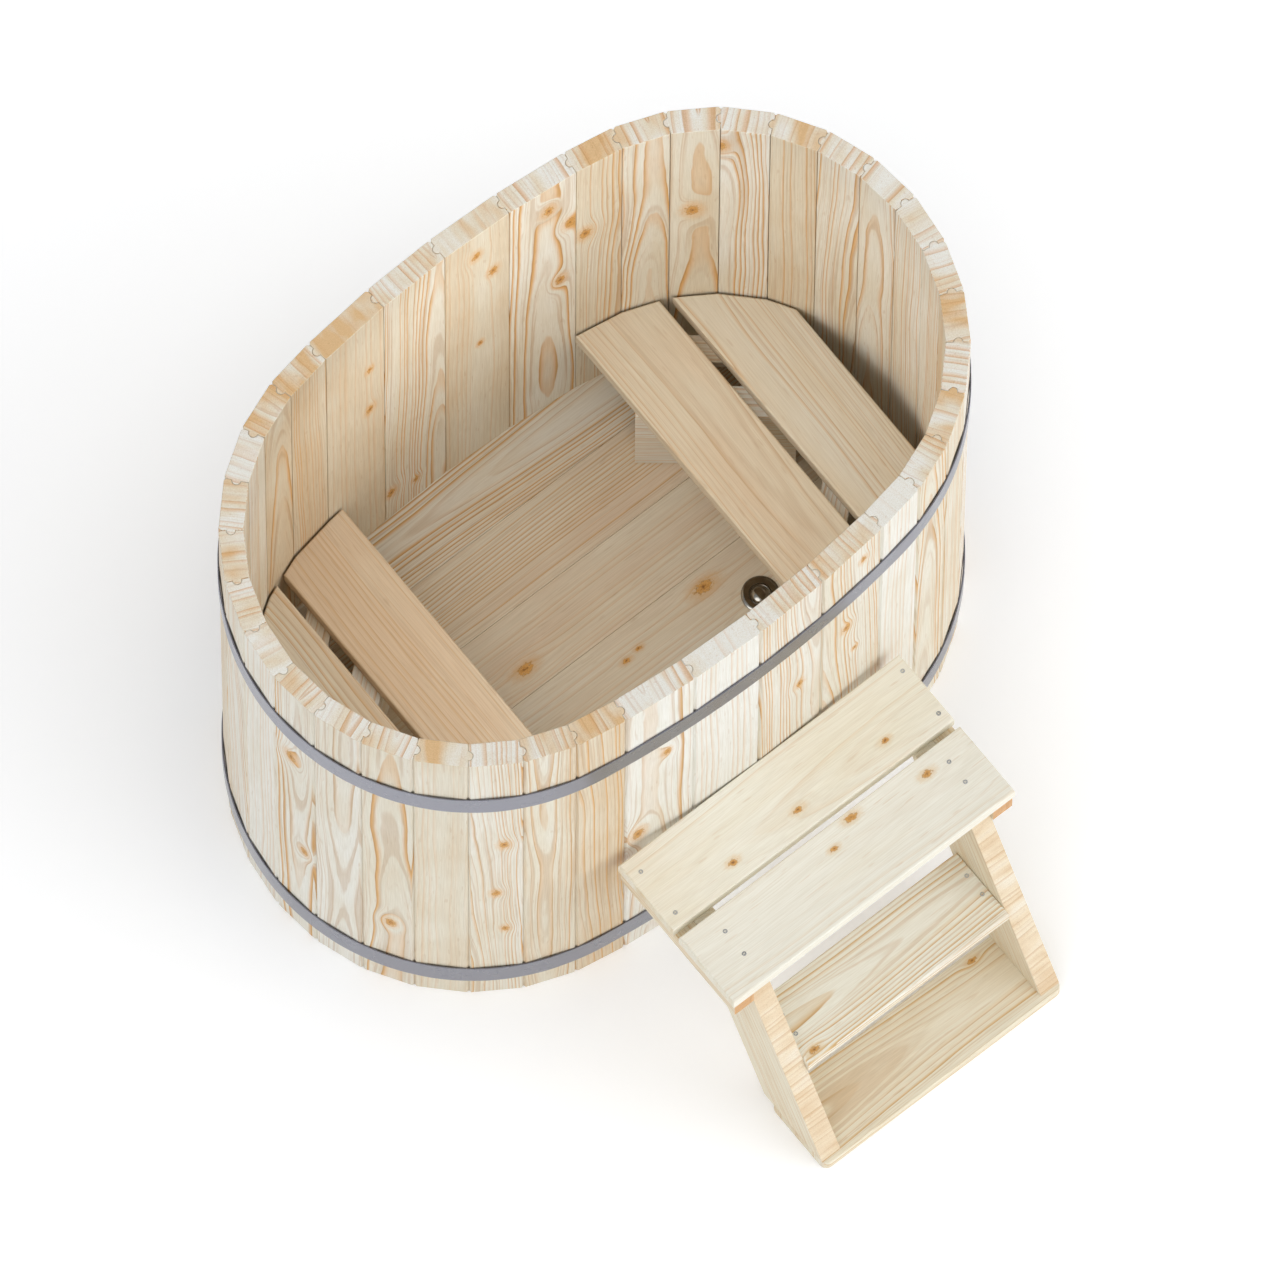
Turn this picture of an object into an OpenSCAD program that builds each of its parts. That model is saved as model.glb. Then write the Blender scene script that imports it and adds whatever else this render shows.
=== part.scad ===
// Oval wooden hot tub of staves with two steel hoops, two loose benches,
// a drain with a lift-out plug and a step stool that leans on the long side.
// The origin is on the ground under the middle of the tub. X runs along the tub,
// the steps stand on the -Y side and Z is up.

/* [Staves] */
// Width of a wide stave on the long sides, across its outer face
wide_w = 140; // [130:1:150]
// Width of a narrow stave on the round ends, across its outer face
narrow_w = 95.5; // [90:0.5:102]
// Thickness of the staves
stave_t = 43; // [38:1:48]
// Height of the staves
stave_h = 1190; // [1080:10:1250]
// Turn at a joint between two wide staves, in degrees
side_turn = 3.7; // [3:0.1:4.4]
// Turn where a wide stave meets a narrow one, in degrees
shoulder_turn = 4.3; // [3.6:0.1:5]
// Turn at the first joint between narrow staves, in degrees
hip_turn = 10.6; // [10:0.1:11.4]
// Radius of the bead on one edge of each stave
bead_r = 8; // [6:0.5:9]
// Size of the open notch at each outer joint
notch_w = 4; // [3:0.5:6]
// Depth of the croze, the groove that holds the floor
croze_d = 12; // [9:0.5:13]

/* [Floor] */
// Height of the floor's upper face above the ground
floor_z = 100; // [90:1:115]
// Thickness of the floor boards
floor_t = 38; // [32:1:42]
// Length of the tongue on each floor board
tongue_l = 8; // [6:0.5:9]
// Thickness of the tongue
tongue_t = 10; // [8:0.5:12]
// Width of the bearers under the floor
bearer_w = 70; // [60:1:80]
// Distance of the outer bearers from the middle of the tub
bearer_x = 410; // [390:5:430]

/* [Hoops] */
// Height of each steel band
hoop_h = 62; // [50:1:68]
// Thickness of each steel band
hoop_t = 3; // [2:0.5:4]
// Distance of the upper hoop below the rim
upper_hoop_drop = 165; // [150:5:230]
// Distance of the lower hoop above the ground
lower_hoop_rise = 71; // [60:1:90]
// Opening between the two ends of a band
hoop_split = 24; // [20:1:30]
// How far the lugs stand out from a band
lug_reach = 30; // [26:1:34]
// Thickness of the lugs
lug_t = 6; // [5:0.5:8]
// Diameter of the closing bolts
bolt_d = 10; // [8:0.5:12]

/* [Drain] */
// Place of the drain along the tub
drain_x = 287; // [280:1:294]
// Place of the drain across the tub
drain_y = -105; // [-108:1:-98]
// Diameter of the drain flange
flange_d = 68; // [62:1:72]
// Thickness of the drain flange
flange_t = 3; // [2.5:0.5:4]
// Outer diameter of the threaded tail
tail_d = 45; // [42:0.5:46]
// Water way through the tail
drain_bore_d = 34; // [30:0.5:35]
// Depth of the tail below the floor's upper face
tail_l = 80; // [76:1:88]
// Outer diameter of the spigot that a waste hose goes over
spigot_d = 40; // [38:0.5:41]
// Length of the spigot
spigot_l = 26; // [18:1:28]
// Height of the plug's dome
dome_h = 4; // [3:0.5:5]

/* [Benches] */
// Height of the seats above the floor
seat_h = 280; // [240:5:320]
// Width of each seat plank
plank_w = 155; // [145:1:158]
// Thickness of the seat planks
plank_t = 36; // [28:1:42]
// Gap between the two planks of a bench
plank_gap = 21; // [15:1:26]
// Distance of the right bench's front edge from the middle
right_bench_x = 270; // [260:1:280]
// Distance of the left bench's front edge from the middle
left_bench_x = 243; // [235:1:260]
// Thickness of the bench legs
leg_t = 58; // [45:1:62]
// Length of each bench leg along its foot
leg_l = 280; // [250:5:290]
// Slant of the legs and battens across the bench, in degrees
leg_slant = 39; // [36:1:42]
// Distance of a leg's front corner from the middle line
leg_y = 220; // [215:1:230]
// Width of the bench battens
batten_w = 50; // [40:1:55]
// Thickness of the bench battens
batten_t = 28; // [22:1:32]
// Distance of the battens' ends from the bench's long edges
batten_inset = 37; // [30:1:50]

/* [Steps] */
// Height of the platform
platform_z = 530; // [480:5:580]
// Length of the platform along the tub
platform_l = 620; // [605:5:660]
// Width of each platform board
step_board_w = 152; // [145:1:160]
// Gap between the platform boards
step_board_gap = 15; // [10:1:20]
// Thickness of the platform boards and the tread
step_board_t = 32; // [28:1:38]
// Width of the stringer boards
stringer_w = 145; // [135:1:155]
// Thickness of the stringer boards
stringer_t = 42; // [36:1:46]
// Lean of the stringers from upright, in degrees
stringer_lean = 24.5; // [18:0.5:26]
// Distance of the stringers behind the platform's front edge
stringer_set_back = 24; // [16:1:30]
// Height of the tread
tread_z = 262; // [230:2:300]
// Depth of the tread from front to back
tread_w = 145; // [130:1:150]
// How far the tread stands out in front of the stringers
tread_lead = 15; // [5:1:20]
// Height of the cleats under the platform
cleat_h = 45; // [38:1:55]
// Thickness of the cleats under the platform
cleat_t = 42; // [36:1:44]
// Thickness of the board that the stringers stand on
base_t = 28; // [24:1:34]
// Width of the board that the stringers stand on
base_w = 151; // [140:1:165]
// How far that board stands out in front of the stringers
base_lead = 10; // [5:1:15]

/* [Hidden] */
$fn = 48;
overrun = 5;

// Stave layout: joints are counted from the middle of the near long side towards +X
staves_n = 36;
side_half_n = 2;
quarter_turns = 4;
side_joints_n = 2 * (2 * side_half_n - 1);
end_joints_n = staves_n - side_joints_n - 2 * quarter_turns;
end_turn = (360 - side_joints_n * side_turn - quarter_turns * (shoulder_turn + hip_turn)) / end_joints_n;
bead_gap = 0.3;
croze_fit = 0.4;

// Floor
floor_boards_n = 6;
floor_edge_gap = 1;
floor_under_z = floor_z - floor_t;
tongue_gap = 0.3;
bearer_end_gap = 10;

// Hoops and their closing lugs
upper_hoop_z = stave_h - upper_hoop_drop;
lower_hoop_z = lower_hoop_rise + hoop_h;
lug_h = hoop_h - 2 * lug_t;
bolt_gap = 0.7;
bolt_head_h_share = 0.65;
bolt_head_d_share = 1.9;
bolt_end_share = 0.5;
bolt_head_h = bolt_head_h_share * bolt_d;
bolt_head_d = bolt_head_d_share * bolt_d;
bolt_end_l = bolt_end_share * bolt_d;
nut_gap = 0.3;

// Drain
seal_t = 1.5;
hole_gap = 0.5;
flange_edge_t = 1.2;
flange_slope_w = 8;
plug_seat_w = 3;
plug_recess_d = 5;
plug_gap = 0.6;
plug_edge_t = 2.5;
plug_knob_d = 16;
plug_knob_h = 5;
drain_nut_h = 10;
drain_nut_share = 1.08;
drain_nut_d = drain_nut_share * flange_d;
dome_steps = 8;

// Benches
bench_gap = 4;
plank_edge_r = 5;
leg_set_out = 3;
batten_wall_gap = 106;
seat_z = floor_z + seat_h;
plank_under_z = seat_z - plank_t;
bench_w = 2 * plank_w + plank_gap;
batten_l = (bench_w - 2 * batten_inset - batten_w * sin(leg_slant)) / cos(leg_slant);

// Steps
steps_gap = 0.5;
step_edge_r = 5;
base_corner_r = 14;
cleat_end_gap = 2;
cleat_side_gap = 4;
tread_cleat_w = 34;
tread_cleat_h = 30;
tread_cleat_inset = 18;
platform_under_z = platform_z - step_board_t;
stringer_span = platform_l - 2 * (cleat_t + cleat_side_gap);
stringer_run = stringer_w / cos(stringer_lean);
tread_l = stringer_span - 2 * stringer_t;

// Wood tones and metals
stave_tones = ["#ecd9b4", "#e6cba0", "#f0e2c6", "#e3c79c", "#efdcb9", "#e9d2a8"];
floor_tone = "#cdb48d";
seat_tone = "#dfc49c";
step_tone = "#ead6ae";
beam_tone = "#d9bd92";
steel = "#8d909c";
chrome = "#b9bcc0";
rubber = "#303030";

// Whether stave k is one of the wide ones on a long side
function wide(k) = let (m = (k + staves_n) % staves_n)
    m < side_half_n
    || m >= staves_n - side_half_n
    || abs(m + 0.5 - staves_n / 2) < side_half_n;

// Turn of the outline at joint k, between stave k - 1 and stave k
function joint_turn(k) =
    wide(k - 1) && wide(k) ? side_turn
    : wide(k - 1) || wide(k) ? shoulder_turn
    : wide(k - 2) || wide(k + 1) ? hip_turn
    : end_turn;

// Direction in which stave k runs, anticlockwise from +X
function heading(k) = k == 0 ? side_turn / 2 : heading(k - 1) + joint_turn(k);
headings = [for (k = [0 : staves_n - 1]) heading(k)];

function along(a) = [cos(a), sin(a)];
function inward(a) = [-sin(a), cos(a)];
function walk(k) = k == 0
    ? [0, 0]
    : walk(k - 1) + (wide(k - 1) ? wide_w : narrow_w) * along(headings[k - 1]);

half_w = walk(staves_n / 2).y / 2;
half_l = walk(staves_n / 4).x;
joints = [for (k = [0 : staves_n - 1]) walk(k) - [0, half_w]];

// Point on the mitre line of joint k, at a depth below the outer faces
function mitre(k, depth) = let (m = k % staves_n)
    joints[m] + depth / cos(joint_turn(m) / 2) * inward(headings[m] - joint_turn(m) / 2);

// The tub's outline at a depth below the outer faces
function outline(depth) = [for (k = [0 : staves_n - 1]) mitre(k, depth)];

// Half of the tub's inner width at a distance from its middle
function wall_y(x) = lookup(x, [for (k = [staves_n / 4 : staves_n / 2]) mitre(k, stave_t)]);

// Corners of a rectangle from the origin with round corners
function round_rect(w, h, r, steps = 4) = [
    for (c = [[w - r, h - r, 0], [r, h - r, 90], [r, r, 180], [w - r, r, 270]])
        for (i = [0 : steps])
            [c[0], c[1]] + r * along(c[2] + 90 * i / steps)
];

// A profile drawn in Y and Z, run along X on both sides of the origin
module run_x(length) {
    rotate([90, 0, 90])
        linear_extrude(height = length, center = true)
            children();
}

// A profile drawn in X and Z, run along Y on both sides of the origin
module run_y(length) {
    rotate([90, 0, 0])
        linear_extrude(height = length, center = true)
            children();
}

// Plan of stave k: notched outer corners, a bead on one mitred edge and a cove in the other
module stave_plan(k) {
    u = along(headings[k]);
    difference() {
        union() {
            polygon([
                mitre(k, 0) + notch_w * u,
                mitre(k + 1, 0) - notch_w * u,
                mitre(k + 1, notch_w),
                mitre(k + 1, stave_t),
                mitre(k, stave_t),
                mitre(k, notch_w)
            ]);
            translate(mitre(k + 1, stave_t / 2))
                circle(r = bead_r);
        }
        translate(mitre(k, stave_t / 2))
            circle(r = bead_r + bead_gap);
    }
}

module stave(k) {
    difference() {
        linear_extrude(height = stave_h)
            stave_plan(k);
        translate([0, 0, floor_under_z])
            linear_extrude(height = floor_t + croze_fit)
                polygon(outline(stave_t - croze_d));
    }
}

// Stave k and the one that faces it across the middle of the tub
module stave_pair(k) {
    color(stave_tones[k % len(stave_tones)]) {
        stave(k);
        rotate([0, 0, 180])
            stave(k);
    }
}

// Floor boards run along the tub, tongue into groove, cut to the croze
module floor_board(i) {
    span = 2 * (half_w - stave_t + croze_d - floor_edge_gap);
    pitch = span / floor_boards_n;
    tongue_z = (floor_t - tongue_t) / 2;
    color(floor_tone)
        difference() {
            translate([0, 0, floor_under_z])
                intersection() {
                    translate([0, i * pitch - span / 2, 0])
                        run_x(2 * half_l)
                            polygon([
                                [0, 0],
                                [pitch, 0],
                                [pitch, tongue_z],
                                [pitch + tongue_l, tongue_z],
                                [pitch + tongue_l, tongue_z + tongue_t],
                                [pitch, tongue_z + tongue_t],
                                [pitch, floor_t],
                                [0, floor_t],
                                [0, tongue_z + tongue_t + tongue_gap],
                                [tongue_l + tongue_gap, tongue_z + tongue_t + tongue_gap],
                                [tongue_l + tongue_gap, tongue_z - tongue_gap],
                                [0, tongue_z - tongue_gap]
                            ]);
                    linear_extrude(height = floor_t)
                        polygon(outline(stave_t - croze_d + floor_edge_gap));
                }
            translate([drain_x, drain_y, floor_under_z - overrun])
                cylinder(d = tail_d + 2 * hole_gap, h = floor_t + 2 * overrun);
        }
}

// Bearers cross under the floor and stand on the ground with the staves
module bearer(x) {
    color(beam_tone)
        intersection() {
            translate([x - bearer_w / 2, -half_w, 0])
                cube([bearer_w, 2 * half_w, floor_under_z]);
            linear_extrude(height = floor_under_z)
                polygon(outline(stave_t + bearer_end_gap));
        }
}

// Flat steel band round the staves, split at the middle of the far side
module hoop(top_z) {
    color(steel)
        translate([0, 0, top_z - hoop_h])
            difference() {
                linear_extrude(height = hoop_h)
                    difference() {
                        polygon(outline(-hoop_t));
                        polygon(outline(0));
                    }
                translate([-hoop_split / 2, half_w / 2, -overrun])
                    cube([hoop_split, half_w, hoop_h + 2 * overrun]);
            }
}

// The bolt's line through both lugs
module at_bolt(top_z) {
    translate([0, half_w + hoop_t + lug_reach / 2, top_z - hoop_h / 2])
        rotate([0, 90, 0])
            children();
}

// Two plates welded to the ends of a band
module hoop_lugs(top_z) {
    color(steel)
        difference() {
            for (x = [-hoop_split / 2 - lug_t, hoop_split / 2])
                translate([x, half_w - hoop_t, top_z - hoop_h + lug_t])
                    cube([lug_t, lug_reach + 2 * hoop_t, lug_h]);
            translate([0, 0, top_z - hoop_h])
                linear_extrude(height = hoop_h)
                    polygon(outline(-hoop_t));
            at_bolt(top_z)
                cylinder(d = bolt_d + 2 * bolt_gap, h = 2 * (hoop_split + lug_t), center = true);
        }
}

// Hexagon bolt and its nut, which draw the lugs together
module hoop_bolt(top_z) {
    seat_x = hoop_split / 2 + lug_t;
    color(chrome)
        at_bolt(top_z) {
            translate([0, 0, -seat_x - bolt_head_h]) {
                cylinder(d = bolt_d, h = 2 * seat_x + 2 * bolt_head_h + bolt_end_l);
                cylinder(d = bolt_head_d, h = bolt_head_h, $fn = 6);
            }
            translate([0, 0, seat_x])
                difference() {
                    cylinder(d = bolt_head_d, h = bolt_head_h, $fn = 6);
                    translate([0, 0, -overrun])
                        cylinder(d = bolt_d + 2 * nut_gap, h = bolt_head_h + 2 * overrun);
                }
        }
}

module at_drain() {
    translate([drain_x, drain_y, floor_z])
        children();
}

// Heights over the floor's upper face, shared by the drain's pieces
flange_top_z = seal_t + flange_t;
plug_seat_z = flange_top_z - plug_recess_d;
plug_r = drain_bore_d / 2 + plug_seat_w - plug_gap;

// Turned flange with a recess for the plug, the threaded tail and the hose spigot below it
module drain_body() {
    color(chrome)
        at_drain()
            rotate_extrude()
                polygon([
                    [drain_bore_d / 2, -tail_l],
                    [spigot_d / 2, -tail_l],
                    [spigot_d / 2, -tail_l + spigot_l],
                    [tail_d / 2, -tail_l + spigot_l],
                    [tail_d / 2, seal_t],
                    [flange_d / 2, seal_t],
                    [flange_d / 2, seal_t + flange_edge_t],
                    [flange_d / 2 - flange_slope_w, flange_top_z],
                    [drain_bore_d / 2 + plug_seat_w, flange_top_z],
                    [drain_bore_d / 2 + plug_seat_w, plug_seat_z],
                    [drain_bore_d / 2, plug_seat_z]
                ]);
}

// Rubber rings over and under the floor
module drain_seals() {
    color(rubber)
        at_drain()
            for (z = [0, -floor_t - seal_t])
                translate([0, 0, z])
                    difference() {
                        cylinder(d = flange_d - seal_t, h = seal_t);
                        translate([0, 0, -overrun])
                            cylinder(d = tail_d + 2 * hole_gap, h = seal_t + 2 * overrun);
                    }
}

module drain_nut() {
    color(chrome)
        at_drain()
            translate([0, 0, -floor_t - seal_t - drain_nut_h])
                difference() {
                    cylinder(d = drain_nut_d, h = drain_nut_h, $fn = 6);
                    translate([0, 0, -overrun])
                        cylinder(d = tail_d + 2 * nut_gap, h = drain_nut_h + 2 * overrun);
                }
}

// Domed plug with a short knob under it, resting on its seal
module plug() {
    plug_z = plug_seat_z + seal_t;
    color(chrome)
        at_drain()
            rotate_extrude()
                polygon(concat(
                    [
                        [0, plug_z - plug_knob_h],
                        [plug_knob_d / 2, plug_z - plug_knob_h],
                        [plug_knob_d / 2, plug_z],
                        [plug_r, plug_z]
                    ],
                    [for (i = [0 : dome_steps]) let (a = 90 * i / dome_steps)
                        [plug_r * cos(a), plug_z + plug_edge_t + dome_h * sin(a)]]
                ));
}

module plug_seal() {
    color(rubber)
        at_drain()
            translate([0, 0, plug_seat_z])
                difference() {
                    cylinder(r = plug_r, h = seal_t);
                    translate([0, 0, -overrun])
                        cylinder(d = plug_knob_d + 2 * plug_gap, h = seal_t + 2 * overrun);
                }
}

// Bench pieces are drawn for the +X end and mirrored for the other one
module for_side(side) {
    mirror([side < 0 ? 1 : 0, 0, 0])
        children();
}

// Seat plank with soft edges, its ends cut to the wall
module plank(front_x, side) {
    color(seat_tone)
        for_side(side)
            intersection() {
                translate([front_x, 0, plank_under_z])
                    run_y(2 * half_w)
                        polygon(round_rect(plank_w, plank_t, plank_edge_r));
                translate([0, 0, plank_under_z])
                    linear_extrude(height = plank_t)
                        polygon(outline(stave_t + bench_gap));
            }
}

// Two slanting battens that hold the planks of a bench together
module battens(front_x, side) {
    x = front_x + bench_w / 2;
    y = wall_y(x) - batten_wall_gap;
    color(seat_tone)
        for_side(side)
            for (s = [0, 1])
                mirror([0, s, 0])
                    translate([x, y, plank_under_z - batten_t])
                        rotate([0, 0, -leg_slant])
                            translate([-batten_l / 2, -batten_w / 2, 0])
                                cube([batten_l, batten_w, batten_t]);
}

// Two boards on edge that carry a bench, drawn together towards the end wall
module legs(front_x, side) {
    color(beam_tone)
        for_side(side)
            for (s = [0, 1])
                mirror([0, s, 0])
                    translate([front_x - leg_set_out, leg_y, floor_z])
                        rotate([0, 0, -leg_slant])
                            cube([leg_l, leg_t, seat_h - plank_t]);
}

// Lines across the steps, measured from the tub's side
platform_rear_y = -half_w - steps_gap;
platform_front_y = platform_rear_y - 2 * step_board_w - step_board_gap;
function stringer_front_y(z) = platform_front_y + stringer_set_back
    - (platform_under_z - z) * tan(stringer_lean);
tread_front_y = stringer_front_y(tread_z) - tread_lead;
base_front_y = stringer_front_y(base_t) - base_lead;

module platform_board(rear_y) {
    color(step_tone)
        translate([0, rear_y - step_board_w, platform_under_z])
            run_x(platform_l)
                polygon(round_rect(step_board_w, step_board_t, step_edge_r));
}

// Two cleats under the platform, outside the stringers
module platform_cleats() {
    color(step_tone)
        for (x = [-stringer_span / 2 - cleat_t, stringer_span / 2])
            translate([x, platform_front_y + cleat_end_gap, platform_under_z - cleat_h])
                cube([cleat_t, platform_rear_y - platform_front_y - 2 * cleat_end_gap, cleat_h]);
}

// Leaning side board, cut level at the foot and under the platform
module stringer(x) {
    color(beam_tone)
        translate([x, 0, 0])
            run_x(stringer_t)
                polygon([
                    [stringer_front_y(base_t), base_t],
                    [stringer_front_y(base_t) + stringer_run, base_t],
                    [stringer_front_y(platform_under_z) + stringer_run, platform_under_z],
                    [stringer_front_y(platform_under_z), platform_under_z]
                ]);
}

module tread() {
    color(step_tone)
        translate([0, tread_front_y, tread_z - step_board_t])
            run_x(tread_l)
                polygon(round_rect(tread_w, step_board_t, step_edge_r));
}

// Two cleats on the inner faces of the stringers, under the tread
module tread_cleats() {
    color(step_tone)
        for (x = [-tread_l / 2, tread_l / 2 - tread_cleat_w])
            translate([
                x,
                tread_front_y + tread_cleat_inset,
                tread_z - step_board_t - tread_cleat_h
            ])
                cube([tread_cleat_w, tread_w - 2 * tread_cleat_inset, tread_cleat_h]);
}

// Board on the ground, with round corners, that the stringers are fixed to
module steps_base() {
    color(step_tone)
        translate([-stringer_span / 2, base_front_y, 0])
            linear_extrude(height = base_t)
                polygon(round_rect(stringer_span, base_w, base_corner_r));
}

stave_pair(0);  // staves_01
stave_pair(1);  // staves_02
stave_pair(2);  // staves_03
stave_pair(3);  // staves_04
stave_pair(4);  // staves_05
stave_pair(5);  // staves_06
stave_pair(6);  // staves_07
stave_pair(7);  // staves_08
stave_pair(8);  // staves_09
stave_pair(9);  // staves_10
stave_pair(10);  // staves_11
stave_pair(11);  // staves_12
stave_pair(12);  // staves_13
stave_pair(13);  // staves_14
stave_pair(14);  // staves_15
stave_pair(15);  // staves_16
stave_pair(16);  // staves_17
stave_pair(17);  // staves_18
floor_board(0);  // floor_board_1
floor_board(1);  // floor_board_2
floor_board(2);  // floor_board_3
floor_board(3);  // floor_board_4
floor_board(4);  // floor_board_5
floor_board(5);  // floor_board_6
bearer(-bearer_x);  // bearer_left
bearer(0);  // bearer_middle
bearer(bearer_x);  // bearer_right
hoop(upper_hoop_z);  // upper_hoop
hoop_lugs(upper_hoop_z);  // upper_lugs
hoop_bolt(upper_hoop_z);  // upper_bolt
hoop(lower_hoop_z);  // lower_hoop
hoop_lugs(lower_hoop_z);  // lower_lugs
hoop_bolt(lower_hoop_z);  // lower_bolt
drain_body();
drain_seals();
drain_nut();
plug();
plug_seal();
plank(right_bench_x, 1);  // right_bench_front
plank(right_bench_x + plank_w + plank_gap, 1);  // right_bench_rear
battens(right_bench_x, 1);  // right_bench_battens
legs(right_bench_x, 1);  // right_bench_legs
plank(left_bench_x, -1);  // left_bench_front
plank(left_bench_x + plank_w + plank_gap, -1);  // left_bench_rear
battens(left_bench_x, -1);  // left_bench_battens
legs(left_bench_x, -1);  // left_bench_legs
platform_board(platform_rear_y);  // platform_rear
platform_board(platform_front_y + step_board_w);  // platform_front
platform_cleats();
stringer(-stringer_span / 2 + stringer_t / 2);  // stringer_left
stringer(stringer_span / 2 - stringer_t / 2);  // stringer_right
tread();
tread_cleats();
steps_base();
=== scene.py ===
import math
import random

import bpy
from mathutils import Matrix, Vector


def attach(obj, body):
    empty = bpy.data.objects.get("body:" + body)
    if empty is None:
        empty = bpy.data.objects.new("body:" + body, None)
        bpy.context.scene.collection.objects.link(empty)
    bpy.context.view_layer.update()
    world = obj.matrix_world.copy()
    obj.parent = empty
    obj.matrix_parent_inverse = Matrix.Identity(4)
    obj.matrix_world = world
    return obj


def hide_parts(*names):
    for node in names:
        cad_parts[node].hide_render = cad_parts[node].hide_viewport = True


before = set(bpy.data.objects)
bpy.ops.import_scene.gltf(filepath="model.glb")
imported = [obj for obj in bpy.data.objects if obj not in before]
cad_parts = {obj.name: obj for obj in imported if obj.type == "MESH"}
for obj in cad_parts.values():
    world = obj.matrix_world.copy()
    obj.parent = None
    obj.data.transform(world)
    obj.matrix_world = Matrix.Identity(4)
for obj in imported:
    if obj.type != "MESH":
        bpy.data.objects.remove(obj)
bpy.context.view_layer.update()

# Staves
# The tub's wall is thirty-six upright spruce boards, planed to 43 mm. Wide ones make the two
# straight sides and narrow ones the round ends. Each has a bead along one edge that sits in
# the cove of the next, a small bevel on both outer corners, and a croze that holds the floor.

STAVES = 36
WIDE, NARROW = 0.140, 0.0955
THICK, TALL = 0.043, 1.190
SIDE_TURN, SHOULDER_TURN, HIP_TURN = 3.7, 4.3, 10.6
END_TURN = (360 - 6 * SIDE_TURN - 4 * (SHOULDER_TURN + HIP_TURN)) / 22
BEAD, COVE = 0.008, 0.0083
NOTCH = 0.004
CROZE_LOW, CROZE_HIGH, CROZE_DEEP = 0.062, 0.1004, 0.012


def is_wide(k):
    """The four staves in the middle of each long side are the wide ones."""
    return min((k + 2) % STAVES, (k + 20) % STAVES) < 4


def turn_at(k):
    """How far the wall turns at joint k, between staves k - 1 and k, in degrees."""
    if is_wide(k - 1) and is_wide(k):
        return SIDE_TURN
    if is_wide(k - 1) or is_wide(k):
        return SHOULDER_TURN
    return HIP_TURN if is_wide(k - 2) or is_wide(k + 1) else END_TURN


def going(degrees):
    """The unit direction at this angle, anticlockwise from +X."""
    return Vector((math.cos(math.radians(degrees)), math.sin(math.radians(degrees))))


def left_of(direction):
    """The direction a quarter turn to the left."""
    return Vector((-direction.y, direction.x))


runs, joints = [], []
run, joint = SIDE_TURN / 2, Vector((0, 0))
for k in range(STAVES):
    run += turn_at(k) if k else 0
    runs.append(run)
    joints.append(joint.copy())
    joint += going(run) * (WIDE if is_wide(k) else NARROW)
HALF_WIDTH = joints[STAVES // 2].y / 2
joints = [p - Vector((0, HALF_WIDTH)) for p in joints]


def mitre(k, depth):
    """The point on joint k that lies this far in from the outer faces."""
    k %= STAVES
    half = math.radians(turn_at(k) / 2)
    return joints[k] + left_of(going(runs[k] - math.degrees(half))) * (depth / math.cos(half))


def arc(centre, radius, first, last, steps):
    """Points along a curve of one radius, from one angle in degrees to another."""
    return [centre + going(first + (last - first) * i / steps) * radius for i in range(steps + 1)]


def drawn_in(outline, depth):
    """The outline with every side moved inward by the same depth."""
    sharpest = 0.3
    moved = []
    for i, p in enumerate(outline):
        before = (p - outline[i - 1]).normalized()
        after = (outline[(i + 1) % len(outline)] - p).normalized()
        mid = (left_of(before) + left_of(after)).normalized()
        moved.append(p + mid * (depth / max(sharpest, mid.dot(left_of(after)))))
    return moved


MARKS = ("log", "sawing", "knot_a", "knot_b", "knot_c")
LOG_STEP = 3.7
NO_KNOT = (9, 9, 0.005)


class Timber:
    """How a board was sawn: its place and direction, and where the heart of the log lies.

    Each board's seed takes it from another length of the log. A knot is given by how far it lies
    across and along the board, and by its size.
    """

    def __init__(self, middle, along, across, heart, lean=(0, 0), ring=0.006, tone=0.5,
                 figure=0.8, knots=(), seed=0, ends=None):
        self.middle = Vector(middle)
        self.along = Vector(along).normalized()
        self.across = Vector(across).normalized()
        self.deep = self.along.cross(self.across)
        self.ends = Vector(ends).normalized() if ends else self.along
        self.heart, self.lean, self.ring = heart, lean, round(ring, 5)
        self.tone, self.figure, self.knots, self.seed = tone, figure, knots, seed

    def marks(self, p):
        """What the grain needs to know at point p of the board."""
        q = p - self.middle
        u, v, w = q.dot(self.across), q.dot(self.deep), q.dot(self.along)
        aside, down = u - self.heart[0] - self.lean[0] * w, v - self.heart[1] - self.lean[1] * w
        found = [(aside, down, w + LOG_STEP * self.seed), (self.ring, self.tone, self.figure)]
        found += [(u - across, w - along, size) for across, along, size in self.knots]
        return found + [NO_KNOT] * (len(MARKS) - len(found))


END_FACING = 0.8


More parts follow.
